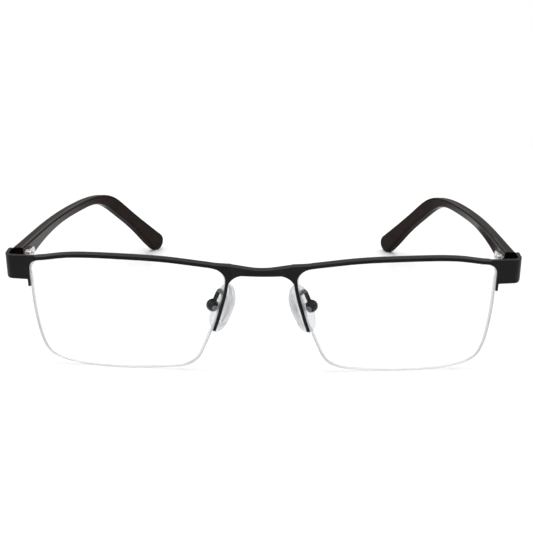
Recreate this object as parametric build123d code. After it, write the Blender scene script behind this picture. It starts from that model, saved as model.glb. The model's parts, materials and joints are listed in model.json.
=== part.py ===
# Half rim eyeglasses: a black metal top-and-nose frame, lenses held from below by a
# nylon cord, clear nose pads on wire arms, and dark board temples on five-barrel hinges.
#
# Frame: +X to the right as seen from in front, +Y from the front towards the wearer,
# +Z up. The glasses stand as they do on a table, on the lens bottoms and temple tips.
# The front is drawn upright in its own frame and leaned by FRONT_TILT. The right side
# is modelled, and the left side is its mirror image.
from build123d import *
import math
import os

# ---- driving dimensions (mm, degrees) -------------------------------------------
FRONT_TILT = 6.0          # top of the front leans this far towards -Y
FRONT_SETBACK = 3.24      # places the bridge over Y = 0 before centring
FRONT_DROP = 0.178        # brings the lens cords down to Z = 0
BEND_X = 8.2              # crease where the bridge meets each rim

# Lens and its curve: 54 wide, 33 tall, 19 between the lenses
LENS_CURVE_R = 180.0      # sphere radius that the lens and its rim follow
LENS_CENTRE = (36.5, 1.3, 16.5)
LENS_WRAP = 5.0           # face-form angle of each lens
LENS_OUTLINE = [
    (9.65, 27.3), (9.95, 24.6), (11.15, 19.6), (13.2, 12.9), (15.55, 7.0), (17.9, 3.1),
    (21.0, 1.35), (26.0, 0.6), (36.5, 0.0), (48.4, 0.15), (56.0, 1.35), (59.6, 3.3),
    (61.2, 6.2), (62.4, 11.4), (63.25, 19.5), (63.5, 26.5), (63.25, 29.1), (62.3, 30.35),
    (60.2, 30.95), (55.0, 31.95), (45.0, 32.78), (35.0, 32.78), (25.0, 32.3), (15.0, 31.05),
    (11.1, 29.85),
]
LENS_RECESS = 0.4         # front of the lens behind the front of the rim
LENS_THICK = 2.0
EDGE_GROOVE_DEPTH = 0.5
EDGE_GROOVE_WIDTH = 0.6
CORD_PROUD = 0.12         # nylon cord beyond the lens edge
CORD_R = 0.24
SLIP = 0.02               # gap around a piece that slides into a groove

# Rim, bridge and endpiece
RIM_FACE = 0.88           # rim width seen from in front
RIM_DEPTH = 2.2
RIM_GROOVE = 0.35
STUB_FACE = 0.65          # thin rim tail below the endpiece
NASAL_RIM_END = 12.6
TEMPORAL_RIM_END = 23.1
NASAL_HOLES = (16.4, 14.0)      # heights of the cord holes
TEMPORAL_HOLES = (25.9, 24.0)
HOLE_R = 0.34
BRIDGE_THICK = 2.2
BRIDGE_BOW = 0.8          # middle of the bridge ahead of its creases
BRIDGE_TOP = [(0, 30.5), (3.2, 30.68), (6.6, 31.08), (9.6, 31.3), (13.4, 31.66)]
PLATE_THICK = 1.0
PLATE_START_X = 61.8
PLATE_MID_Z = 29.0
PLATE_SLOPE = 0.135
PLATE_BOTTOM = 25.1
PLATE_CORNER_R = 1.1
FRONT_HALF_WIDTH = 70.3
WRAP_END = 12.5           # rear end of the wrapped side of the endpiece

# Hinge, drawn in the front's own frame
HINGE_X = 65.0
HINGE_Y = 12.6
HINGE_BOTTOM = 26.3
HINGE_TOP = 30.5
BARREL_COUNT = 5
BARREL_R = 1.2
BARREL_GAP = 0.06
BARREL_SWEEP_R = 1.34     # room cleared round the other leaf's barrels
FOOT_SPAN = (64.3, 67.5)
FOOT_THICK = 0.8
SCREW_R = 0.55
SCREW_SLIP = 0.05         # running clearance of the screw in the temple barrels
SCREW_HEAD_R = 0.95
SCREW_HEAD_H = 0.5
DRIVER_SLOT = 0.25
LEAF_INNER_X = 65.5
LEAF_OUTER_X = 66.8
LEAF_HEIGHT = 3.6
RIVET_R = 0.5
RIVET_HEAD_R = 0.85
RIVET_END_X = 68.5
RIVET_SPOTS = ((16.0, 29.45), (20.2, 29.2))

# Temple
TEMPLE_THICK = 3.2
TEMPLE_BUTT_Y = 12.62     # front face of the temple, in the front's own frame
TEMPLE_EDGE_R = 0.75
TIP_CENTRE = (130.6, 3.2)
TIP_R = 3.2
TOP_SLOPE = 37.5          # downward slope of the ear drop's top edge
BOTTOM_SLOPE = 38.7
CORE_THICK = 1.1
CORE_HALF_HEIGHT = 0.7

# Nose pads, placed in the resting frame
PAD_BOX_CENTRE = Vector(13.65, 8.9, 17.9)
PAD_LEAN = 22.0           # pad top leans towards the nose
PAD_SPLAY = 32.0          # pad rear edge opens away from the nose
PAD_LENGTH = 14.8
PAD_WIDTH = 8.6
PAD_THICK = 2.6
PAD_STANDOFF = 2.35       # box centre to the pad's outer face
PAD_DROP = 0.7            # pad middle below the box, along the pad
PAD_BOX_R = 1.8
TONGUE_THICK = 1.0
TONGUE_GAP = 0.08
PAD_SCREW_R = 0.45
ARM_R = 0.62
ARM_ROOT = Vector(10.15, 3.9, 22.8)


# ---- helpers ---------------------------------------------------------------------
def rest(shape):
    """Lean a shape drawn in the front's own frame into the resting frame."""
    return Pos(0, FRONT_SETBACK, -FRONT_DROP) * Rot(FRONT_TILT, 0, 0) * shape


def span_box(x0, x1, y0, y1, z0, z1):
    return Pos((x0 + x1) / 2, (y0 + y1) / 2, (z0 + z1) / 2) * Box(x1 - x0, y1 - y0, z1 - z0)


def through(face, y0=-6.0, y1=30.0):
    """Run a face drawn in the XZ plane straight through the front."""
    return extrude(Pos(0, y0, 0) * face, amount=y1 - y0, dir=(0, 1, 0))


def rod(start, end, radius):
    """A round bar between two points."""
    start, end = Vector(*start), Vector(*end)
    plane = Plane(origin=start, z_dir=end - start)
    return extrude(plane * Circle(radius), amount=(end - start).length)


def largest(shape):
    """The biggest solid of a shape, without the offcuts."""
    return max(shape.solids(), key=lambda solid: solid.volume)


def face_xz(*edges):
    return make_face(Wire(list(edges)))


# ---- lens curve and outline ------------------------------------------------------
WRAP = math.radians(LENS_WRAP)
CURVE_CENTRE = Vector(
    LENS_CENTRE[0] - math.sin(WRAP) * LENS_CURVE_R,
    LENS_CENTRE[1] + math.cos(WRAP) * LENS_CURVE_R,
    LENS_CENTRE[2],
)
GROOVE_FRONT = LENS_RECESS + (LENS_THICK - EDGE_GROOVE_WIDTH) / 2
GROOVE_REAR = GROOVE_FRONT + EDGE_GROOVE_WIDTH
GROOVE_MIDDLE = (GROOVE_FRONT + GROOVE_REAR) / 2

OUTLINE = Edge.make_spline([Vector(x, 0, z) for x, z in LENS_OUTLINE], periodic=True)
OUTLINE_STEPS = 90        # points from which a grown outline is drawn


def curve_y(x, z, behind):
    """Y of the lens curve at a point, a distance behind the front of the rim."""
    radius = LENS_CURVE_R - behind
    across = (x - CURVE_CENTRE.X) ** 2 + (z - CURVE_CENTRE.Z) ** 2
    return CURVE_CENTRE.Y - math.sqrt(radius ** 2 - across)


def curved_layer(solid, front, rear):
    """The part of a solid between two depths behind the front of the rim."""
    outer = Pos(*CURVE_CENTRE) * Sphere(LENS_CURVE_R - front)
    inner = Pos(*CURVE_CENTRE) * Sphere(LENS_CURVE_R - rear)
    return (solid & outer) - inner


def lens_face(grow=0.0):
    """The lens outline as a face, grown or shrunk evenly."""
    if grow == 0:
        return make_face(Wire([OUTLINE]))
    points = []
    for i in range(OUTLINE_STEPS):
        tangent = OUTLINE % (i / OUTLINE_STEPS)
        points.append((OUTLINE @ (i / OUTLINE_STEPS)) + Vector(tangent.Z, 0, -tangent.X) * grow)
    return make_face(Wire([Edge.make_spline(points, periodic=True)]))


def edge_x(z, nasal):
    """X where the lens outline crosses a height, on its nasal or temporal side."""
    steps = 400
    points = [OUTLINE.position_at(i / steps) for i in range(steps)]
    middle = LENS_CENTRE[0]
    side = [p for p in points if (p.X < middle) == nasal]
    return min(side, key=lambda p: abs(p.Z - z)).X


def height_mask(nasal_low, nasal_high, temporal_low, temporal_high):
    """A block that keeps one span of heights on each side of the lens middle."""
    middle = LENS_CENTRE[0]
    nasal = span_box(0, middle, -6, 30, nasal_low, nasal_high)
    temporal = span_box(middle, 80, -6, 30, temporal_low, temporal_high)
    return nasal + temporal


# ---- front frame -----------------------------------------------------------------
def rim():
    """The metal rim along the top and nose side, with its short outer tail."""
    band = through(lens_face(RIM_FACE) - lens_face())
    band = band & height_mask(NASAL_RIM_END, 40, 30.0, 40)
    tail = through(lens_face(STUB_FACE) - lens_face())
    tail = tail & span_box(LENS_CENTRE[0], 80, -6, 30, TEMPORAL_RIM_END, 30.5)
    body = band + tail + through(bridge_face() - lens_face()) - span_box(-9, BEND_X, -9, 30, 0, 40)
    body = curved_layer(body, 0, RIM_DEPTH)
    groove = through(lens_face(RIM_GROOVE) - lens_face(-EDGE_GROOVE_DEPTH))
    body -= curved_layer(groove, GROOVE_FRONT, GROOVE_REAR)
    for z in NASAL_HOLES:
        body -= cord_hole(z, nasal=True)
    for z in TEMPORAL_HOLES:
        body -= cord_hole(z, nasal=False)
    return body


def cord_hole(z, nasal):
    x = edge_x(z, nasal)
    outward = -1 if nasal else 1
    y = curve_y(x, z, GROOVE_MIDDLE)
    return rod((x - outward * 0.6, y, z), (x + outward * 1.6, y, z), HOLE_R)


def bridge_face():
    """Half of the bridge with the web that runs down into the nasal rim."""
    top = Edge.make_spline(
        [Vector(x, 0, z) for x, z in BRIDGE_TOP],
        tangents=[Vector(1, 0, 0), Vector(1, 0, 0.13)],
    )
    web_bottom, middle_bottom = Vector(9.3, 0, 24.0), Vector(5.3, 0, 28.8)
    rim_side = Vector(BRIDGE_TOP[-1][0], 0, web_bottom.Z)
    underside = Vector(0, 0, middle_bottom.Z)
    return face_xz(
        top,
        Edge.make_line(top @ 1, rim_side),
        Edge.make_line(rim_side, web_bottom),
        Edge.make_three_point_arc(web_bottom, Vector(7.95, 0, 27.35), middle_bottom),
        Edge.make_line(middle_bottom, underside),
        Edge.make_line(underside, top @ 0),
    )


def bridge():
    """Right half of the plate between the two creases, bowed a little forwards."""
    front_y = curve_y(BEND_X, 28.0, 0)
    back_y = front_y + BRIDGE_THICK
    bow = Edge.make_three_point_arc(
        Vector(-BEND_X, front_y, 0), Vector(0, front_y - BRIDGE_BOW, 0), Vector(BEND_X, front_y, 0)
    )
    back = Edge.make_three_point_arc(
        Vector(BEND_X, back_y, 0), Vector(0, back_y - BRIDGE_BOW, 0), Vector(-BEND_X, back_y, 0)
    )
    sides = [
        Edge.make_line(bow @ 1, back @ 0),
        Edge.make_line(back @ 1, bow @ 0),
    ]
    plan = make_face(Wire([bow, back] + sides))
    plate = extrude(plan, amount=45, dir=(0, 0, 1))
    half = through(bridge_face() - lens_face()) & span_box(0, BEND_X, -9, 30, 0, 40)
    return plate & half


def plate_y(x):
    """Y of the endpiece plate's front face."""
    return curve_y(PLATE_START_X, PLATE_MID_Z, 0) + (x - PLATE_START_X) * PLATE_SLOPE


def endpiece():
    """Flat outer plate that bends round the corner and runs back to the temple."""
    width, thick = FRONT_HALF_WIDTH, PLATE_THICK
    start, inside = PLATE_START_X, width - thick
    outer = FilletPolyline(
        (start, plate_y(start)), (width, plate_y(width)), (width, WRAP_END), radius=2.5
    )
    inner = FilletPolyline(
        (start, plate_y(start) + thick), (inside, plate_y(inside) + thick), (inside, WRAP_END),
        radius=2.5 - thick,
    )
    plan = make_face(outer + inner + Line(outer @ 0, inner @ 0) + Line(outer @ 1, inner @ 1))
    strip = extrude(plan, amount=45, dir=(0, 0, 1))
    bottom, r = PLATE_BOTTOM, PLATE_CORNER_R
    face = face_xz(
        Edge.make_line(Vector(61.0, 0, 32.05), Vector(width, 0, 31.85)),
        Edge.make_line(Vector(width, 0, 31.85), Vector(width, 0, bottom + r)),
        Edge.make_three_point_arc(
            Vector(width, 0, bottom + r),
            Vector(width - r * (1 - math.sqrt(0.5)), 0, bottom + r * (1 - math.sqrt(0.5))),
            Vector(width - r, 0, bottom),
        ),
        Edge.make_line(Vector(width - r, 0, bottom), Vector(61.0, 0, bottom)),
        Edge.make_line(Vector(61.0, 0, bottom), Vector(61.0, 0, 32.05)),
    )
    return strip & through(face - lens_face())


def front_frame():
    half = rim() + bridge() + endpiece()
    return half + mirror(half, about=Plane.YZ)


# ---- lens, liner and cord --------------------------------------------------------
def lens():
    body = curved_layer(through(lens_face(-SLIP)), LENS_RECESS, LENS_RECESS + LENS_THICK)
    groove = through(lens_face(1.0) - lens_face(-EDGE_GROOVE_DEPTH))
    return body - curved_layer(groove, GROOVE_FRONT, GROOVE_REAR)


def edge_strip(grow_out, grow_in, mask):
    """A strip that lies in the grooves round the lens edge."""
    ring = through(lens_face(grow_out) - lens_face(grow_in)) & mask
    return curved_layer(ring, GROOVE_FRONT + SLIP, GROOVE_REAR - SLIP)


def rim_liner():
    mask = height_mask(NASAL_HOLES[0] + 0.6, 40, TEMPORAL_HOLES[0] + 0.6, 40)
    return edge_strip(RIM_GROOVE - SLIP, -EDGE_GROOVE_DEPTH + SLIP, mask)


def cord_loop(heights, nasal):
    """Where the cord goes out through one hole and back in through the next."""
    outward = -1 if nasal else 1
    reach = (RIM_FACE if nasal else STUB_FACE) + 0.45
    ends = []
    for z in heights:
        x = edge_x(z, nasal)
        y = curve_y(x, z, GROOVE_MIDDLE)
        ends.append((Vector(x, y, z), Vector(x + outward * reach, y, z)))
    path = FilletPolyline(ends[0][0], ends[0][1], ends[1][1], ends[1][0], radius=0.5)
    start = Plane(origin=ends[0][0], z_dir=path % 0)
    return sweep(start * Circle(CORD_R), path=path)


def lens_cord():
    mask = height_mask(-5, NASAL_HOLES[0] + 0.3, -5, TEMPORAL_HOLES[0] + 0.3)
    strip = edge_strip(CORD_PROUD, -EDGE_GROOVE_DEPTH + SLIP, mask)
    return strip + cord_loop(NASAL_HOLES, True) + cord_loop(TEMPORAL_HOLES, False)


# ---- hinge -----------------------------------------------------------------------
BARREL_PITCH = (HINGE_TOP - HINGE_BOTTOM) / BARREL_COUNT


def barrels(first, radius, trim):
    """Every second barrel of the hinge, from the lowest that belongs to a leaf."""
    solids = []
    for index in range(first, BARREL_COUNT, 2):
        low = HINGE_BOTTOM + index * BARREL_PITCH + trim
        high = HINGE_BOTTOM + (index + 1) * BARREL_PITCH - trim
        solids.append(rod((HINGE_X, HINGE_Y, low), (HINGE_X, HINGE_Y, high), radius))
    joined = solids[0]
    for solid in solids[1:]:
        joined += solid
    return joined


def pin_bore(clearance):
    return rod((HINGE_X, HINGE_Y, HINGE_BOTTOM - 1), (HINGE_X, HINGE_Y, HINGE_TOP + 1), SCREW_R + clearance)


def front_leaf(frame):
    inside = [(x, plate_y(x) + PLATE_THICK / 2) for x in FOOT_SPAN]
    outside = [(x, y + FOOT_THICK + PLATE_THICK / 2) for x, y in reversed(inside)]
    foot = extrude(make_face(Polyline(*inside, *outside, close=True)), amount=HINGE_TOP - HINGE_BOTTOM)
    foot = Pos(0, 0, HINGE_BOTTOM) * foot
    web_front = plate_y(HINGE_X) + PLATE_THICK
    web = span_box(HINGE_X - 0.65, HINGE_X + 0.6, web_front, HINGE_Y, HINGE_BOTTOM, HINGE_TOP)
    leaf = foot + web - barrels(1, BARREL_SWEEP_R, -BARREL_GAP / 2)
    leaf += barrels(0, BARREL_R, BARREL_GAP / 2)
    return leaf - pin_bore(0.01) - frame


def temple_leaf():
    z_mid = (RIVET_SPOTS[0][1] + 0.15, RIVET_SPOTS[1][1])
    front_y = 12.4
    rear_y = RIVET_SPOTS[1][0]
    half = LEAF_HEIGHT / 2
    outline = face_yz(
        Edge.make_line(Vector(0, front_y, z_mid[0] + half), Vector(0, rear_y, z_mid[1] + half)),
        Edge.make_three_point_arc(
            Vector(0, rear_y, z_mid[1] + half),
            Vector(0, rear_y + half, z_mid[1]),
            Vector(0, rear_y, z_mid[1] - half),
        ),
        Edge.make_line(Vector(0, rear_y, z_mid[1] - half), Vector(0, front_y, z_mid[0] - half)),
        Edge.make_line(Vector(0, front_y, z_mid[0] - half), Vector(0, front_y, z_mid[0] + half)),
    )
    plate = extrude(Pos(LEAF_INNER_X, 0, 0) * outline, amount=LEAF_OUTER_X - LEAF_INNER_X, dir=(1, 0, 0))
    ahead_of_axis = span_box(60, 70, 0, HINGE_Y + 0.1, 0, 50)
    plate -= rest(ahead_of_axis)
    plate -= rest(barrels(0, BARREL_SWEEP_R, -BARREL_GAP / 2))
    leaf = plate + rest(barrels(1, BARREL_R, BARREL_GAP / 2)) - rest(pin_bore(SCREW_SLIP))
    for rivet in rivet_shanks():
        leaf -= rivet
    return leaf


def face_yz(*edges):
    return make_face(Wire(list(edges)))


def hinge_screw():
    shank = rod((HINGE_X, HINGE_Y, HINGE_BOTTOM + 0.1), (HINGE_X, HINGE_Y, HINGE_TOP), SCREW_R)
    head = rod((HINGE_X, HINGE_Y, HINGE_TOP), (HINGE_X, HINGE_Y, HINGE_TOP + SCREW_HEAD_H), SCREW_HEAD_R)
    head = fillet(head.faces().sort_by(Axis.Z)[-1].edges(), 0.2)
    slot = span_box(
        HINGE_X - 2, HINGE_X + 2, HINGE_Y - DRIVER_SLOT / 2, HINGE_Y + DRIVER_SLOT / 2,
        HINGE_TOP + SCREW_HEAD_H - 0.25, HINGE_TOP + 2,
    )
    return shank + head - slot


def rivet_shanks():
    return [
        rod((LEAF_INNER_X, y, z), (RIVET_END_X, y, z), RIVET_R) for y, z in RIVET_SPOTS
    ]


def hinge_rivets():
    """Two rivets that pass through the temple leaf into the board."""
    rivets = []
    for (y, z), shank in zip(RIVET_SPOTS, rivet_shanks()):
        head = rod((LEAF_INNER_X, y, z), (LEAF_INNER_X - 0.3, y, z), RIVET_HEAD_R)
        head = fillet(head.faces().sort_by(Axis.X)[0].edges(), 0.2)
        rivets.append(shank + head)
    return Compound(rivets)


# ---- temple ----------------------------------------------------------------------
def temple_side_face():
    """Side view of the temple: straight run, ear bend and rounded tip."""
    top_angle, bottom_angle = math.radians(TOP_SLOPE), math.radians(BOTTOM_SLOPE)
    tip_y, tip_z = TIP_CENTRE
    top_end = Vector(0, tip_y + TIP_R * math.sin(top_angle), tip_z + TIP_R * math.cos(top_angle))
    bottom_end = Vector(
        0, tip_y - TIP_R * math.sin(bottom_angle), tip_z - TIP_R * math.cos(bottom_angle)
    )
    tip_angle = (top_angle + bottom_angle) / 2
    tip_far = Vector(0, tip_y + TIP_R * math.cos(tip_angle), tip_z - TIP_R * math.sin(tip_angle))
    top_start = Vector(0, 10.0, 32.9)
    top_knee = Vector(0, 84.0, 30.15)
    top_run = Edge.make_line(top_start, top_knee)
    drop = [Vector(0, y, z) for y, z in ((92.5, 29.7), (98.5, 28.9), (104.4, 26.9), (112.0, 21.6))]
    top_drop = Edge.make_spline(
        [top_knee] + drop + [top_end],
        tangents=[top_knee - top_start, Vector(0, math.cos(top_angle), -math.sin(top_angle))],
    )
    tip = Edge.make_three_point_arc(top_end, tip_far, bottom_end)
    bottom_start = Vector(0, 10.0, 25.7)
    under = Edge.make_spline(
        [bottom_end] + [
            Vector(0, y, z) for y, z in (
                (117.9, 10.75), (106.2, 20.1), (99.6, 24.5), (94.0, 26.45), (84.0, 27.25),
                (64.0, 27.95), (44.0, 28.2), (28.0, 27.75),
            )
        ] + [bottom_start],
        tangents=[Vector(0, -math.cos(bottom_angle), math.sin(bottom_angle)), Vector(0, -1, -0.16)],
    )
    butt = Edge.make_line(bottom_start, top_start)
    return face_yz(top_run, top_drop, tip, under, butt)


TEMPLE_PLAN = [
    (10.0, 69.6), (40.0, 69.55), (60.0, 68.95), (76.0, 67.4), (88.0, 65.2), (98.0, 62.1),
    (108.0, 58.0), (122.0, 51.6), (140.0, 42.8),
]


def plan_strip(outer_inset, inner_inset):
    """Top view of a strip that follows the temple's outer face."""
    outer = Edge.make_spline([Vector(x - outer_inset, y, 0) for y, x in TEMPLE_PLAN])
    inner = Edge.make_spline([Vector(x - inner_inset, y, 0) for y, x in TEMPLE_PLAN])
    face = make_face(Wire([
        outer, inner,
        Edge.make_line(outer @ 0, inner @ 0),
        Edge.make_line(outer @ 1, inner @ 1),
    ]))
    return extrude(Pos(0, 0, -5) * face, amount=50, dir=(0, 0, 1))


def temple_board():
    side = extrude(Pos(30, 0, 0) * temple_side_face(), amount=50, dir=(1, 0, 0))
    board = side & plan_strip(0, TEMPLE_THICK)
    board -= rest(span_box(40, 90, -20, TEMPLE_BUTT_Y, -20, 60))
    long_edges = board.edges().filter_by(lambda e: e.center().Y > 20 and e.length > 8)
    return fillet(long_edges, TEMPLE_EDGE_R)


CORE_PATH = [
    (23.5, 30.05), (45.0, 29.8), (64.0, 29.3), (84.0, 28.6), (95.0, 27.8), (101.5, 26.0),
    (108.0, 21.4), (117.0, 14.9), (126.0, 8.6),
]


def temple_core():
    """Flat wire inside the board, from behind the hinge to the tip."""
    middle = Edge.make_spline([Vector(0, y, z) for y, z in CORE_PATH])
    steps = 12
    rows = []
    for sign in (1, -1):
        row = []
        for i in range(steps + 1):
            tangent = middle % (i / steps)
            normal = Vector(0, -tangent.Z, tangent.Y)
            row.append((middle @ (i / steps)) + normal * CORE_HALF_HEIGHT * sign)
        rows.append(row)
    upper, lower = Edge.make_spline(rows[0]), Edge.make_spline(rows[1])
    face = face_yz(
        upper, lower, Edge.make_line(upper @ 0, lower @ 0), Edge.make_line(upper @ 1, lower @ 1)
    )
    band = extrude(Pos(30, 0, 0) * face, amount=50, dir=(1, 0, 0))
    inset = (TEMPLE_THICK - CORE_THICK) / 2
    return band & plan_strip(inset, inset + CORE_THICK)


# ---- nose pad --------------------------------------------------------------------
def pad_plane():
    """Local frame at the pad box: x along the pad, y front to rear, z to the nose."""
    lean, splay = math.radians(PAD_LEAN), math.radians(PAD_SPLAY)
    along = Vector(-math.sin(lean), -0.08, math.cos(lean)).normalized()
    rearward = Vector(math.sin(splay), math.cos(splay), 0)
    to_nose = along.cross(rearward).normalized()
    if to_nose.X > 0:
        to_nose = to_nose * -1
    return Plane(origin=PAD_BOX_CENTRE, x_dir=along, z_dir=to_nose)


PAD = pad_plane()


def nose_pad():
    """Soft oval pad, broad at its upper half, with a pocket for the core plate."""
    half_l, half_w = PAD_LENGTH / 2, PAD_WIDTH / 2
    ring = Edge.make_spline([
        Vector(half_l, 0.3, 0), Vector(half_l * 0.72, half_w * 0.86, 0), Vector(0, half_w, 0),
        Vector(-half_l * 0.72, half_w * 0.76, 0), Vector(-half_l, 0.1, 0),
        Vector(-half_l * 0.74, -half_w * 0.7, 0), Vector(0, -half_w * 0.98, 0),
        Vector(half_l * 0.7, -half_w * 0.8, 0),
    ], periodic=True)
    body = extrude(make_face(Wire([ring])), amount=PAD_THICK, dir=(0, 0, 1))
    body = fillet(body.edges(), PAD_THICK * 0.42)
    return (PAD * Pos(-PAD_DROP, 0, PAD_STANDOFF) * body) - pad_core_plate() - core_neck()


def pad_core_plate():
    plate = extrude(SlotOverall(6.4, 3.2), amount=0.7)
    return PAD * Pos(0, 0, PAD_STANDOFF + 0.9) * plate


def core_neck():
    neck = extrude(Rectangle(1.7, TONGUE_THICK), amount=2.2)
    return PAD * Pos(0, 0, PAD_STANDOFF - 1.0) * neck


def pad_core():
    """Hard plate inside the pad with the tongue that fits the pad box."""
    tongue = PAD * Pos(0, -TONGUE_THICK / 2, 0) * Rot(-90, 0, 0) * Cylinder(
        0.85, TONGUE_THICK, align=(Align.CENTER, Align.CENTER, Align.MIN)
    )
    shank = PAD * extrude(Rectangle(1.7, TONGUE_THICK), amount=PAD_STANDOFF)
    bore = pad_rod(-3, 3, PAD_SCREW_R + SCREW_SLIP)
    return (tongue + shank + core_neck() + pad_core_plate()) - bore


def pad_rod(start, end, radius):
    """A round bar along the pad screw's axis."""
    a, b = PAD.from_local_coords((0, start, 0)), PAD.from_local_coords((0, end, 0))
    return rod(tuple(a), tuple(b), radius)


def pad_box():
    """Round box at the end of the pad arm, slotted for the tongue."""
    ball = Sphere(PAD_BOX_R)
    trimmed = ball & Pos(0, 0, 0.85 - 2.5) * Box(5, 5, 5)
    slot = Pos(0, 0, 1.0) * Box(5, TONGUE_THICK + 2 * TONGUE_GAP, 4.4)
    return (PAD * (trimmed - slot)) - pad_rod(-3, 3, PAD_SCREW_R + 0.01) - pad_rod(-3, -1.35, 0.86)


def pad_screw():
    shank = pad_rod(-1.4, 1.55, PAD_SCREW_R)
    head = pad_rod(-1.72, -1.35, 0.82)
    slot = PAD * Pos(0, -1.72, 0) * Box(3, 0.3, 0.22)
    return shank + head - slot


def pad_arm(frame, box):
    """Wire from the back of the nasal rim to the top of the pad box."""
    top = PAD.from_local_coords((5.0, 0, 0))
    low = PAD.from_local_coords((1.2, 0, 0))
    path = FilletPolyline(ARM_ROOT, top, low, radius=1.7)
    start = Plane(origin=ARM_ROOT, z_dir=path % 0)
    wire = sweep(start * Circle(ARM_R), path=path)
    lens_room = rest(curved_layer(through(lens_face(0.05)), 0, LENS_RECESS + LENS_THICK + 0.05))
    return largest(wire - frame - box - lens_room)


# ---- assembly --------------------------------------------------------------------
def build():
    frame_upright = front_frame()
    frame = rest(frame_upright)
    box = pad_box()
    leaf_front = rest(front_leaf(frame_upright))
    leaf_temple = temple_leaf()
    board = temple_board()
    core = temple_core()
    rivets = hinge_rivets()
    board = board - leaf_temple - core
    for rivet in rivet_shanks():
        board -= rivet
    one_side = {
        "lens": rest(lens()),
        "rim_liner": rest(rim_liner()),
        "lens_cord": rest(lens_cord()),
        "front_hinge": leaf_front,
        "hinge_screw": rest(hinge_screw()),
        "temple": board,
        "temple_core": core,
        "temple_hinge": leaf_temple,
        "hinge_rivets": rivets,
        "pad_arm": pad_arm(frame, box),
        "pad_box": box,
        "pad_screw": pad_screw(),
        "pad_core": pad_core(),
        "nose_pad": nose_pad(),
    }
    nodes = {"front_frame": frame}
    for name, solid in one_side.items():
        nodes[name + "_right"] = solid
        nodes[name + "_left"] = mirror(solid, about=Plane.YZ)
    return nodes


def main():
    nodes = build()
    box = Compound(list(nodes.values())).bounding_box()
    centre_y = (box.min.Y + box.max.Y) / 2
    nodes = {name: Pos(0, -centre_y, 0) * shape for name, shape in nodes.items()}
    hinge = rest(Pos(HINGE_X, HINGE_Y, (HINGE_BOTTOM + HINGE_TOP) / 2) * Sphere(0.1)).center()
    print("box", box.min, box.max, "moved back by", centre_y)
    print("hinge point", hinge.X, hinge.Y - centre_y, hinge.Z)
    print("hinge axis", 0, -math.sin(math.radians(FRONT_TILT)), math.cos(math.radians(FRONT_TILT)))
    print("pad point", PAD.origin - Vector(0, centre_y, 0), "pad axis", PAD.y_dir)
    os.makedirs("parts", exist_ok=True)
    for name, shape in nodes.items():
        print(name, [round(s.volume, 3) for s in shape.solids()])
        export_step(shape, f"parts/{name}.step")


main()
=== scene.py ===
# Looks for the half rim eyeglasses: clear lenses, nylon cords, silicone nose pads and
# finished metal and acetate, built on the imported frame. Lengths are in millimetres in
# the design frame and are turned into metres where a mesh is made.
import json
import math

import bmesh
import bpy
import numpy as np
from mathutils import Matrix, Vector

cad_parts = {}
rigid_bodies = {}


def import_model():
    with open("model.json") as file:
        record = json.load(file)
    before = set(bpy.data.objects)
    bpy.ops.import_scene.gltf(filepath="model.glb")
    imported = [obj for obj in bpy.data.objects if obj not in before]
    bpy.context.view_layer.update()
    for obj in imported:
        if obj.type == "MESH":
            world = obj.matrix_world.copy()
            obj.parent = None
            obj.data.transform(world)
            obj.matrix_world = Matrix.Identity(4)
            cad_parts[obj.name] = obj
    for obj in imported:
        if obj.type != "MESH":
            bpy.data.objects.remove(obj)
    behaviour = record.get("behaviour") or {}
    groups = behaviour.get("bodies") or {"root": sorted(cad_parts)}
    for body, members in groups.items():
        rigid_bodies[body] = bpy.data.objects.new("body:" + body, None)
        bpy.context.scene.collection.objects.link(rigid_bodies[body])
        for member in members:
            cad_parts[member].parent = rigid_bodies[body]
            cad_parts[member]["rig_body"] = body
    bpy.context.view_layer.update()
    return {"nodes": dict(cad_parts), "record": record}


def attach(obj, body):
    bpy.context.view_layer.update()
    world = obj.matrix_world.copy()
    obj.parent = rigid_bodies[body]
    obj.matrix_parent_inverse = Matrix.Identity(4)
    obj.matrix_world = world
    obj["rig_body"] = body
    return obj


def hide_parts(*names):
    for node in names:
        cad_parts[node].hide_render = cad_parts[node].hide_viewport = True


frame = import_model()

MM = 0.001
SIDES = {"left": -1, "right": 1}

# ---- driving dimensions, as in the frame (mm, degrees) ---------------------------
FRONT_TILT = 6.0
FRONT_SETBACK = 3.24
FRONT_DROP = 0.178
CENTRE_Y = 67.2373        # the frame's middle, behind the bridge
FRONT_SHIFT = Vector((0, FRONT_SETBACK - CENTRE_Y, -FRONT_DROP))
LENS_CURVE_R = 180.0
LENS_CENTRE = (36.5, 1.3, 16.5)
LENS_WRAP = 5.0
LENS_OUTLINE = [
    (9.65, 27.3), (9.95, 24.6), (11.15, 19.6), (13.2, 12.9), (15.55, 7.0), (17.9, 3.1),
    (21.0, 1.35), (26.0, 0.6), (36.5, 0.0), (48.4, 0.15), (56.0, 1.35), (59.6, 3.3),
    (61.2, 6.2), (62.4, 11.4), (63.25, 19.5), (63.5, 26.5), (63.25, 29.1), (62.3, 30.35),
    (60.2, 30.95), (55.0, 31.95), (45.0, 32.78), (35.0, 32.78), (25.0, 32.3), (15.0, 31.05),
    (11.1, 29.85),
]
LENS_RECESS = 0.4
LENS_THICK = 2.0
LENS_SLIP = 0.02
EDGE_BEVEL = 1.05         # width of the ground bevel on each face of the lens
EDGE_FALL = 0.3           # how far the bevel falls towards the groove
LINE_SHARE = 0.75         # part of the bevel left after the line along its inner edge
LINE_FALL = 0.06
GROOVE_DEPTH = 0.46
GROOVE_WIDTH = 0.56
CORD_R = 0.25
NASAL_HOLES = (16.4, 14.0)
TEMPORAL_HOLES = (25.9, 24.0)
NASAL_RIM_END = 12.6
PLATE_CORNER_Z = 27.0     # where the lens edge goes in behind the endpiece corner

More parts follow.
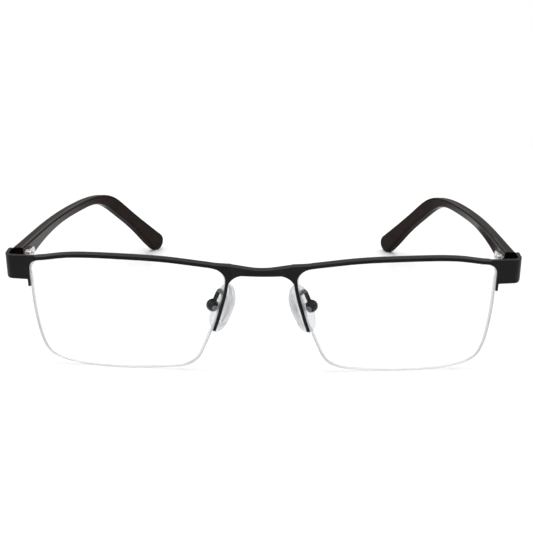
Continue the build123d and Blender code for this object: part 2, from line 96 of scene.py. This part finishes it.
PAD_BOX_CENTRE = Vector((13.65, 8.9 - CENTRE_Y, 17.9))
PAD_LEAN = 22.0
PAD_SPLAY = 32.0
PAD_LENGTH = 14.8
PAD_WIDTH = 8.6
PAD_THICK = 2.6
PAD_STANDOFF = 2.35
PAD_OFFSET = -0.7


# ---- camera, floor and light -----------------------------------------------------
LIGHT_AIM = Vector((0, 0, 0.02))


def camera():
    data = bpy.data.cameras.new("camera")
    data.lens = 69.34
    data.sensor_width = 36.0
    data.clip_start, data.clip_end = 0.01, 60
    obj = bpy.data.objects.new("camera", data)
    obj.location = Vector((8.113, -260 - CENTRE_Y, 108.08)) * MM
    pitch, yaw, roll = math.radians(16.37), math.radians(-1.47), math.radians(0.15)
    forward = Vector((
        math.sin(yaw) * math.cos(pitch), math.cos(yaw) * math.cos(pitch), -math.sin(pitch)
    ))
    aimed = forward.to_track_quat("-Z", "Y").to_matrix().to_4x4()
    obj.rotation_euler = (aimed @ Matrix.Rotation(roll, 4, "Z")).to_euler()
    bpy.context.scene.collection.objects.link(obj)
    bpy.context.scene.camera = obj


def area_light(name, place, size, power):
    data = bpy.data.lights.new(name, "AREA")
    data.shape = "RECTANGLE"
    data.size, data.size_y = size
    data.energy = power
    obj = bpy.data.objects.new(name, data)
    obj.location = place
    obj.rotation_euler = (LIGHT_AIM - Vector(place)).to_track_quat("-Z", "Y").to_euler()
    bpy.context.scene.collection.objects.link(obj)


def studio():
    world = bpy.data.worlds.new("studio")
    world.use_nodes = True
    tree = world.node_tree
    lighting = tree.nodes["Background"]
    lighting.inputs["Strength"].default_value = 0.34
    lighting.inputs["Color"].default_value = (1, 1, 1, 1)
    seen = add(tree, "ShaderNodeBackground", Color=(1, 1, 1, 1), Strength=1.0)
    path = tree.nodes.new("ShaderNodeLightPath")
    direct = tree.nodes.new("ShaderNodeMath")
    direct.operation = "MAXIMUM"
    tree.links.new(path.outputs["Is Camera Ray"], direct.inputs[0])
    tree.links.new(path.outputs["Is Transmission Ray"], direct.inputs[1])
    mix = tree.nodes.new("ShaderNodeMixShader")
    tree.links.new(direct.outputs[0], mix.inputs[0])
    tree.links.new(lighting.outputs[0], mix.inputs[1])
    tree.links.new(seen.outputs[0], mix.inputs[2])
    tree.links.new(mix.outputs[0], tree.nodes["World Output"].inputs["Surface"])
    bpy.context.scene.world = world
    bpy.context.scene.view_settings.view_transform = "Standard"
    area_light("top_softbox", (0.0, 0.05, 0.75), (1.1, 0.9), 5.3)
    area_light("key", (0.0, 0.5, 0.8), (0.4, 0.3), 1.6)
    area_light("back_strip", (0.0, 0.9, 0.34), (1.4, 0.12), 0.6)
    area_light("left_softbox", (-0.75, -0.1, 0.4), (0.5, 0.6), 1.6)
    area_light("right_softbox", (0.75, -0.05, 0.4), (0.5, 0.6), 1.8)
    area_light("front_fill", (-0.1, -0.9, 0.55), (0.6, 0.4), 0.6)


def floor():
    mesh = bpy.data.meshes.new("floor")
    half = 0.9
    mesh.from_pydata(
        [(-half, -half, 0), (half, -half, 0), (half, half, 0), (-half, half, 0)], [], [(0, 1, 2, 3)]
    )
    obj = bpy.data.objects.new("floor", mesh)
    bpy.context.scene.collection.objects.link(obj)
    look = finish("floor_white", (0.93, 0.93, 0.93), 0.34, vary=0.006, grain=9, bump=0.0,
                  Specular_IOR_Level=0.25)
    fade_out(look, 0.16, 0.42)
    mesh.materials.append(look)


def fade_out(material, near, far):
    """Lets a surface melt away between two distances from its middle."""
    tree = material.node_tree
    place = tree.nodes.new("ShaderNodeTexCoord")
    length = tree.nodes.new("ShaderNodeVectorMath")
    length.operation = "LENGTH"
    tree.links.new(place.outputs["Object"], length.inputs[0])
    share = add(tree, "ShaderNodeMapRange", From_Min=near, From_Max=far)
    share.interpolation_type = "SMOOTHSTEP"
    tree.links.new(length.outputs["Value"], share.inputs["Value"])
    gone = tree.nodes.new("ShaderNodeBsdfTransparent")
    mix = tree.nodes.new("ShaderNodeMixShader")
    tree.links.new(share.outputs["Result"], mix.inputs[0])
    tree.links.new(tree.nodes["Principled BSDF"].outputs[0], mix.inputs[1])
    tree.links.new(gone.outputs[0], mix.inputs[2])
    tree.links.new(mix.outputs[0], tree.nodes["Material Output"].inputs["Surface"])


# ---- materials -------------------------------------------------------------------
def add(tree, kind, **inputs):
    node = tree.nodes.new(kind)
    for name, value in inputs.items():
        node.inputs[name.replace("_", " ")].default_value = value
    return node


def finish(name, color, roughness, metallic=0.0, vary=0.1, grain=900, stretch=(1, 1, 1),
           bump=0.04, rough_vary=0.08, **fixed):
    """A surface whose colour, gloss and relief all vary with fine noise."""
    material = bpy.data.materials.new(name)
    material.use_nodes = True
    tree = material.node_tree
    shader = tree.nodes["Principled BSDF"]
    shader.inputs["Metallic"].default_value = metallic
    for socket, value in fixed.items():
        shader.inputs[socket.replace("_", " ")].default_value = value
    place = tree.nodes.new("ShaderNodeTexCoord")
    mapping = add(tree, "ShaderNodeMapping", Scale=stretch)
    tree.links.new(place.outputs["Object"], mapping.inputs["Vector"])

    def noise(scale, detail=4.0):
        node = add(tree, "ShaderNodeTexNoise", Scale=scale, Detail=detail)
        tree.links.new(mapping.outputs["Vector"], node.inputs["Vector"])
        return node.outputs["Fac"]

    ramp = tree.nodes.new("ShaderNodeValToRGB")
    for element, factor in zip(ramp.color_ramp.elements, (1 - vary, 1 + vary)):
        element.color = [min(1.0, c * factor) for c in color] + [1]
    ramp.color_ramp.elements[0].position = 0.3
    ramp.color_ramp.elements[1].position = 0.7
    tree.links.new(noise(grain * 0.3), ramp.inputs["Fac"])
    tree.links.new(ramp.outputs["Color"], shader.inputs["Base Color"])

    gloss = add(tree, "ShaderNodeMapRange")
    gloss.inputs["To Min"].default_value = max(0.0, roughness - rough_vary)
    gloss.inputs["To Max"].default_value = roughness + rough_vary
    tree.links.new(noise(grain * 0.7), gloss.inputs["Value"])
    tree.links.new(gloss.outputs["Result"], shader.inputs["Roughness"])

    if bump:
        relief = add(tree, "ShaderNodeBump", Strength=bump, Distance=0.00002)
        tree.links.new(noise(grain * 2.2, 2.0), relief.inputs["Height"])
        tree.links.new(relief.outputs["Normal"], shader.inputs["Normal"])
    return material


def painted_edge_highlight(material, color, amount=0.5):
    """Mixes a lighter tone into the sharpest edges: a painted highlight standing in for the glint
    that lit lacquer edges show.
    """
    tree = material.node_tree
    shader = tree.nodes["Principled BSDF"]
    before = shader.inputs["Base Color"].links[0].from_socket
    geometry = tree.nodes.new("ShaderNodeNewGeometry")
    edge = add(tree, "ShaderNodeMapRange")
    edge.inputs["From Min"].default_value = 0.55
    edge.inputs["From Max"].default_value = 0.75
    edge.inputs["To Max"].default_value = amount
    tree.links.new(geometry.outputs["Pointiness"], edge.inputs["Value"])
    mix = tree.nodes.new("ShaderNodeMix")
    mix.data_type = "RGBA"
    tree.links.new(edge.outputs["Result"], mix.inputs["Factor"])
    tree.links.new(before, mix.inputs["A"])
    mix.inputs["B"].default_value = (*color, 1)
    tree.links.new(mix.outputs["Result"], shader.inputs["Base Color"])
    return material


def deeper_rim(material, tone):
    """Deepens a clear material towards its outline, where light crosses more of it."""
    tree = material.node_tree
    shader = tree.nodes["Principled BSDF"]
    before = shader.inputs["Base Color"].links[0].from_socket
    facing = add(tree, "ShaderNodeLayerWeight", Blend=0.5)
    rim = add(tree, "ShaderNodeMapRange")
    rim.inputs["From Min"].default_value = 0.45
    rim.inputs["From Max"].default_value = 0.95
    tree.links.new(facing.outputs["Facing"], rim.inputs["Value"])
    mix = tree.nodes.new("ShaderNodeMix")
    mix.data_type = "RGBA"
    tree.links.new(rim.outputs["Result"], mix.inputs["Factor"])
    tree.links.new(before, mix.inputs["A"])
    mix.inputs["B"].default_value = (*tone, 1)
    tree.links.new(mix.outputs["Result"], shader.inputs["Base Color"])
    return material


def clear(name, tint, roughness, ior, shadow=0.9, cloud=0.0, **rest):
    """A clear material whose shadow stays light, since it lets the light through."""
    material = finish(
        name, tint, roughness, vary=0.02, Transmission_Weight=1.0 - cloud, IOR=ior, **rest
    )
    tree = material.node_tree
    shader = tree.nodes["Principled BSDF"]
    output = tree.nodes["Material Output"]
    path = tree.nodes.new("ShaderNodeLightPath")
    see_through = tree.nodes.new("ShaderNodeBsdfTransparent")
    see_through.inputs["Color"].default_value = (shadow, shadow, shadow, 1)
    mix = tree.nodes.new("ShaderNodeMixShader")
    tree.links.new(path.outputs["Is Shadow Ray"], mix.inputs[0])
    tree.links.new(shader.outputs[0], mix.inputs[1])
    tree.links.new(see_through.outputs[0], mix.inputs[2])
    tree.links.new(mix.outputs[0], output.inputs["Surface"])
    return material


def acetate():
    """Very dark brown polished sheet with faint darker streaks along its length."""
    return finish(
        "dark_acetate", (0.0105, 0.0064, 0.005), 0.07, vary=0.35, grain=420,
        stretch=(2.4, 0.35, 2.4), bump=0.006, rough_vary=0.02, Specular_IOR_Level=0.03,
    )


def make_looks():
    return {
        # the black metal gets a painted highlight, a lighter tone mixed into its sharpest edges
        "black_metal": painted_edge_highlight(finish(
            "black_metal", (0.0032, 0.0034, 0.004), 0.3, vary=0.12, grain=2600, bump=0.05,
            rough_vary=0.05, Specular_IOR_Level=0.15,
        ), (0.011, 0.011, 0.012)),
        "lens_glass": clear("lens_glass", (0.992, 0.996, 0.995), 0.0, 1.09, 0.985, bump=0.0,
                            rough_vary=0.0),
        "lens_edge": clear("lens_edge", (0.54, 0.545, 0.555), 0.22, 1.15, 0.25, grain=1500),
        "edge_side": clear("edge_side", (0.82, 0.825, 0.835), 0.4, 1.2, 0.25, grain=1500),
        "edge_line": clear("edge_line", (0.46, 0.47, 0.48), 0.4, 1.2, 0.25, grain=1500),
        "clear_nylon": clear("clear_nylon", (0.9, 0.91, 0.92), 0.25, 1.2, 0.25, grain=1800),
        "silver_metal": finish(
            "silver_metal", (0.62, 0.61, 0.59), 0.26, 1.0, vary=0.03, grain=900,
            stretch=(1, 0.12, 3), bump=0.004, rough_vary=0.02,
        ),
        "screw_steel": finish(
            "screw_steel", (0.66, 0.65, 0.64), 0.22, 1.0, vary=0.08, grain=2400, bump=0.012,
        ),
        "dark_steel": finish(
            "dark_steel", (0.16, 0.16, 0.17), 0.3, 1.0, vary=0.1, grain=2400, bump=0.05,
        ),
        "dark_acetate": acetate(),
        "core_wire": finish(
            "core_wire", (0.5, 0.5, 0.5), 0.3, 1.0, vary=0.08, grain=1500, stretch=(1, 0.1, 1),
        ),
        "pad_arm_metal": finish(
            "pad_arm_metal", (0.003, 0.003, 0.0035), 0.09, vary=0.15, grain=2500, bump=0.01,
            rough_vary=0.03, Specular_IOR_Level=0.3,
        ),
        "pad_insert": clear("pad_insert", (0.86, 0.88, 0.89), 0.08, 1.49, 0.8, grain=1200),
        "pad_silicone": deeper_rim(clear(
            "pad_silicone", (0.82, 0.825, 0.835), 0.06, 1.36, 0.75, grain=700, cloud=0.32,
        ), (0.62, 0.63, 0.65)),
    }


# ---- geometry of the lens and the front ------------------------------------------
WRAP = math.radians(LENS_WRAP)
CURVE_CENTRE = Vector((
    LENS_CENTRE[0] - math.sin(WRAP) * LENS_CURVE_R,
    LENS_CENTRE[1] + math.cos(WRAP) * LENS_CURVE_R,
    LENS_CENTRE[2],
))
LEAN = Matrix.Rotation(math.radians(FRONT_TILT), 4, "X")
GROOVE_MIDDLE = LENS_RECESS + LENS_THICK / 2


def at_rest(x, y, z, sign):
    """A point of the upright front, on one side, in the resting frame in metres."""
    return (LEAN @ Vector((x * sign, y, z)) + FRONT_SHIFT) * MM


def curve_y(x, z, behind):
    radius = LENS_CURVE_R - behind
    across = (x - CURVE_CENTRE.x) ** 2 + (z - CURVE_CENTRE.z) ** 2
    return CURVE_CENTRE.y - math.sqrt(radius ** 2 - across)


def closed_spline(points, count):
    """Evenly spaced points and outward normals on a smooth closed curve through points."""
    knots = np.array(points, float)
    n = len(knots)
    ahead = np.roll(knots, -1, axis=0) - knots
    h = np.linalg.norm(ahead, axis=1)
    before = np.roll(h, 1)
    system = np.zeros((n, n))
    for i in range(n):
        system[i, i] = 2 * (before[i] + h[i])
        system[i, (i + 1) % n] += h[i]
        system[i, i - 1] += before[i]
    slope = ahead / h[:, None]
    bend = np.linalg.solve(system, 6 * (slope - np.roll(slope, 1, axis=0)))
    starts = np.concatenate([[0], np.cumsum(h)])
    dense = []
    for s in np.linspace(0, starts[-1], count * 8, endpoint=False):
        i = int(np.searchsorted(starts, s, side="right")) - 1
        u, v, w = s - starts[i], starts[i + 1] - s, h[i]
        j = (i + 1) % n
        dense.append(
            (bend[i] * v ** 3 + bend[j] * u ** 3) / (6 * w)
            + (knots[i] / w - bend[i] * w / 6) * v + (knots[j] / w - bend[j] * w / 6) * u
        )
    dense = np.array(dense)
    lengths = np.linalg.norm(np.roll(dense, -1, axis=0) - dense, axis=1)
    run = np.concatenate([[0], np.cumsum(lengths)])
    spots = np.linspace(0, run[-1], count, endpoint=False)
    ring = np.vstack([dense, dense[:1]])
    even = np.array([[np.interp(s, run, ring[:, k]) for k in (0, 1)] for s in spots])
    tangent = np.roll(even, -1, axis=0) - np.roll(even, 1, axis=0)
    tangent /= np.linalg.norm(tangent, axis=1)[:, None]
    normal = np.stack([tangent[:, 1], -tangent[:, 0]], axis=1)
    area = np.sum(even[:, 0] * np.roll(even[:, 1], -1) - even[:, 1] * np.roll(even[:, 0], -1))
    return even, normal if area > 0 else -normal


OUTLINE, OUTWARD = closed_spline(LENS_OUTLINE, 320)


def new_piece(name, vertices, faces, looks, picks=None, smooth_below=35):
    mesh = bpy.data.meshes.new(name)
    mesh.from_pydata([tuple(v) for v in vertices], [], faces)
    for look in looks:
        mesh.materials.append(look)
    if picks:
        mesh.polygons.foreach_set("material_index", picks)
    tidy = bmesh.new()
    tidy.from_mesh(mesh)
    bmesh.ops.recalc_face_normals(tidy, faces=tidy.faces)
    tidy.to_mesh(mesh)
    tidy.free()
    mesh.shade_smooth()
    mesh.set_sharp_from_angle(angle=math.radians(smooth_below))
    obj = bpy.data.objects.new(name, mesh)
    bpy.context.scene.collection.objects.link(obj)
    return obj


def ring_faces(rings, count):
    """Quads between consecutive rings of the same number of points."""
    faces = []
    for r in range(rings - 1):
        a, b = r * count, (r + 1) * count
        faces += [(a + i, a + (i + 1) % count, b + (i + 1) % count, b + i) for i in range(count)]
    return faces


def bevel_width(point):
    """Width of the ground bevel: full where the edge is bare, narrow inside the metal rim."""
    bare = NASAL_RIM_END if point[0] < LENS_CENTRE[0] else PLATE_CORNER_Z
    return EDGE_BEVEL * float(np.interp(point[1], (bare, bare + 3.0), (1, 0.15)))


def lens(side, sign, looks):
    """A meniscus lens with chamfered rims and the groove that takes the nylon."""
    half = GROOVE_WIDTH / 2
    back = LENS_RECESS + LENS_THICK
    middle = Vector((LENS_CENTRE[0], LENS_CENTRE[2]))
    spread = [0.12, 0.3, 0.5, 0.7, 0.85, 0.94]
    profile = [(f, None, LENS_RECESS) for f in spread]
    edge_start = len(profile)
    profile += [
        (1, 0.0, LENS_RECESS), (LINE_SHARE, 0.0, LENS_RECESS + LINE_FALL),
        (0, LENS_SLIP, LENS_RECESS + EDGE_FALL), (0, LENS_SLIP, GROOVE_MIDDLE - half),
        (0, GROOVE_DEPTH, GROOVE_MIDDLE - half * 0.7),
        (0, GROOVE_DEPTH, GROOVE_MIDDLE + half * 0.7),
        (0, LENS_SLIP, GROOVE_MIDDLE + half), (0, LENS_SLIP, back - EDGE_FALL), (1, 0.0, back),
    ]
    edge_end = len(profile) - 1
    profile += [(f, None, back) for f in reversed(spread)]
    count = len(OUTLINE)
    vertices = []
    for share, inset, depth in profile:
        for point, out in zip(OUTLINE, OUTWARD):
            if inset is None:
                rim_point = point - out * bevel_width(point)
                x, z = np.array(middle) + (rim_point - np.array(middle)) * share
            else:
                x, z = point - out * (bevel_width(point) * share + inset)
            vertices.append(at_rest(x, curve_y(x, z, depth), z, sign))
    faces = ring_faces(len(profile), count)
    face, line, bevel, ground = range(4)
    bands = {edge_start: line, edge_start + 1: bevel}
    bands.update({ring: ground for ring in range(edge_start + 2, edge_end - 1)})
    picks = [bands.get(i // count, face) for i in range(len(faces))]
    for ring, depth in ((0, LENS_RECESS), (len(profile) - 1, back)):
        vertices.append(at_rest(middle.x, curve_y(middle.x, middle.y, depth), middle.y, sign))
        hub = len(vertices) - 1
        start = ring * count
        faces += [(start + i, start + (i + 1) % count, hub) for i in range(count)]
        picks += [face] * count
    glass_looks = [looks[name] for name in ("lens_glass", "edge_line", "lens_edge", "edge_side")]
    obj = new_piece(f"clear_lens_{side}", vertices, faces, glass_looks, picks)
    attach(obj, "front")
    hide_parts(f"lens_{side}")


def tube(name, runs, radius, look, body):
    """One smooth round line through a run of points."""
    curve = bpy.data.curves.new(name, "CURVE")
    curve.dimensions = "3D"
    curve.bevel_depth = radius * MM
    curve.bevel_resolution = 5
    curve.use_fill_caps = True
    for points in runs:
        spline = curve.splines.new("POLY")
        spline.points.add(len(points) - 1)
        for knot, point in zip(spline.points, points):
            knot.co = (*point, 1)
        spline.use_smooth = True
    curve.materials.append(look)
    obj = bpy.data.objects.new(name, curve)
    bpy.context.scene.collection.objects.link(obj)
    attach(obj, body)
    return obj


def lens_cord(side, sign, looks):
    """The nylon line in the lens groove, with its loops out through the rim's holes."""
    seat = CORD_R - GROOVE_DEPTH + 0.02
    below = []
    for point, out in zip(OUTLINE, OUTWARD):
        nasal = point[0] < LENS_CENTRE[0]
        top = (NASAL_HOLES if nasal else TEMPORAL_HOLES)[0]
        if point[1] < top + 0.4:
            below.append(point + out * seat)
    below.sort(key=lambda p: math.atan2(p[1] - LENS_CENTRE[2] * 2, p[0] - LENS_CENTRE[0]))
    run = [at_rest(p[0], curve_y(p[0], p[1], GROOVE_MIDDLE), p[1], sign) for p in below]
    runs = [run]
    for heights, nasal, reach in ((NASAL_HOLES, True, 1.3), (TEMPORAL_HOLES, False, 0.9)):
        outward = -1 if nasal else 1
        loop = []
        for step in range(25):
            turn = math.pi * step / 24
            z = (heights[0] + heights[1]) / 2 + (heights[0] - heights[1]) / 2 * math.cos(turn)
            x = edge_x(z, nasal) + outward * (reach * math.sin(turn) ** 0.5 - 0.05)
            loop.append(at_rest(x, curve_y(x, z, GROOVE_MIDDLE), z, sign))
        runs.append(loop)
    obj = tube(f"nylon_cord_{side}", runs, CORD_R, looks["clear_nylon"], "front")
    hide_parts(f"lens_cord_{side}")


def edge_x(z, nasal):
    """X where the lens outline crosses a height, on its nasal or temporal side."""
    side = [p for p in OUTLINE if (p[0] < LENS_CENTRE[0]) == nasal]
    return min(side, key=lambda p: abs(p[1] - z))[0]


# ---- nose pads -------------------------------------------------------------------
def pad_axes():
    lean, splay = math.radians(PAD_LEAN), math.radians(PAD_SPLAY)
    along = Vector((-math.sin(lean), -0.08, math.cos(lean))).normalized()
    rearward = Vector((math.sin(splay), math.cos(splay), 0))
    to_nose = along.cross(rearward).normalized()
    if to_nose.x > 0:
        to_nose = -to_nose
    across = to_nose.cross(along)
    return along, across, to_nose


def nose_pad(side, sign, looks):
    """Soft silicone pad: broad at the top, crowned towards the nose, with a rolled edge."""
    along, across, to_nose = pad_axes()
    half_l, half_w = PAD_LENGTH / 2, PAD_WIDTH / 2
    ring, _ = closed_spline([
        (half_l, 0.3), (half_l * 0.72, half_w * 0.86), (0, half_w), (-half_l * 0.72, half_w * 0.76),
        (-half_l, 0.1), (-half_l * 0.74, -half_w * 0.7), (0, -half_w * 0.98),
        (half_l * 0.7, -half_w * 0.8),
    ], 96)
    profile = []
    for step in range(7):
        turn = math.pi / 2 * step / 6
        profile.append((1 - 0.22 * (1 - math.sin(turn)), 0.9 - 0.9 * math.cos(turn)))
    for step in range(1, 9):
        turn = math.pi / 2 * step / 8
        profile.append((1 - 0.26 * (1 - math.cos(turn)), 0.9 + (PAD_THICK - 1.25) * math.sin(turn)))
    for share in (0.6, 0.42, 0.22):
        profile.append((share, PAD_THICK - 0.35 + 0.35 * (1 - (share / 0.74) ** 2)))
    vertices = []
    for share, height in [(0.5, 0.0)] + profile:
        for a, b in ring:
            local = Vector((a * share + PAD_OFFSET, b * share, height + PAD_STANDOFF))
            point = PAD_BOX_CENTRE + along * local.x + across * local.y + to_nose * local.z
            vertices.append(Vector((point.x * sign, point.y, point.z)) * MM)
    count = len(ring)
    rings = len(profile) + 1
    faces = ring_faces(rings, count)
    faces += [tuple(range(count)), tuple((rings - 1) * count + i for i in range(count))]
    obj = new_piece(
        f"silicone_pad_{side}", vertices, faces, [looks["pad_silicone"]], smooth_below=70
    )
    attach(obj, f"{side}_pad")
    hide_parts(f"nose_pad_{side}")


# ---- pieces with softened edges --------------------------------------------------
SHARP_ANGLE = 28.0        # edges sharper than this are rolled (degrees)
WELD = 0.000002           # joins the mesh of a CAD piece (metres)


def softened(node, width, look):
    """A copy of a CAD piece whose sharp edges are rolled by a small radius."""
    source = frame["nodes"][node]
    mesh = source.data.copy()
    work = bmesh.new()
    work.from_mesh(mesh)
    bmesh.ops.remove_doubles(work, verts=work.verts, dist=WELD)
    bmesh.ops.dissolve_limit(
        work, angle_limit=math.radians(1.0), verts=work.verts, edges=work.edges
    )
    work.to_mesh(mesh)
    work.free()
    mesh.materials.clear()
    mesh.materials.append(look)
    mesh.shade_smooth()
    obj = bpy.data.objects.new(f"{node}_finished", mesh)
    bpy.context.scene.collection.objects.link(obj)
    bevel = obj.modifiers.new("rolled_edges", "BEVEL")
    bevel.width = width * MM
    bevel.segments = 2
    bevel.limit_method = "ANGLE"
    bevel.angle_limit = math.radians(SHARP_ANGLE)
    bevel.harden_normals = True
    weighted = obj.modifiers.new("flat_faces", "WEIGHTED_NORMAL")
    weighted.keep_sharp = True
    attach(obj, source["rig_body"])
    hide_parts(node)


# ---- assembly --------------------------------------------------------------------
def main():
    camera()
    studio()
    floor()
    looks = make_looks()
    slots = {part["node"]: part["material_slot"] for part in frame["record"]["subparts"]}
    for node, obj in frame["nodes"].items():
        obj.data.materials.clear()
        obj.data.materials.append(looks[slots[node]])
    softened("front_frame", 0.16, looks["black_metal"])
    for side, sign in SIDES.items():
        lens(side, sign, looks)
        lens_cord(side, sign, looks)
        nose_pad(side, sign, looks)
        for base, width in (("front_hinge", 0.08), ("hinge_screw", 0.06)):
            node = f"{base}_{side}"
            softened(node, width, looks[slots[node]])


main()
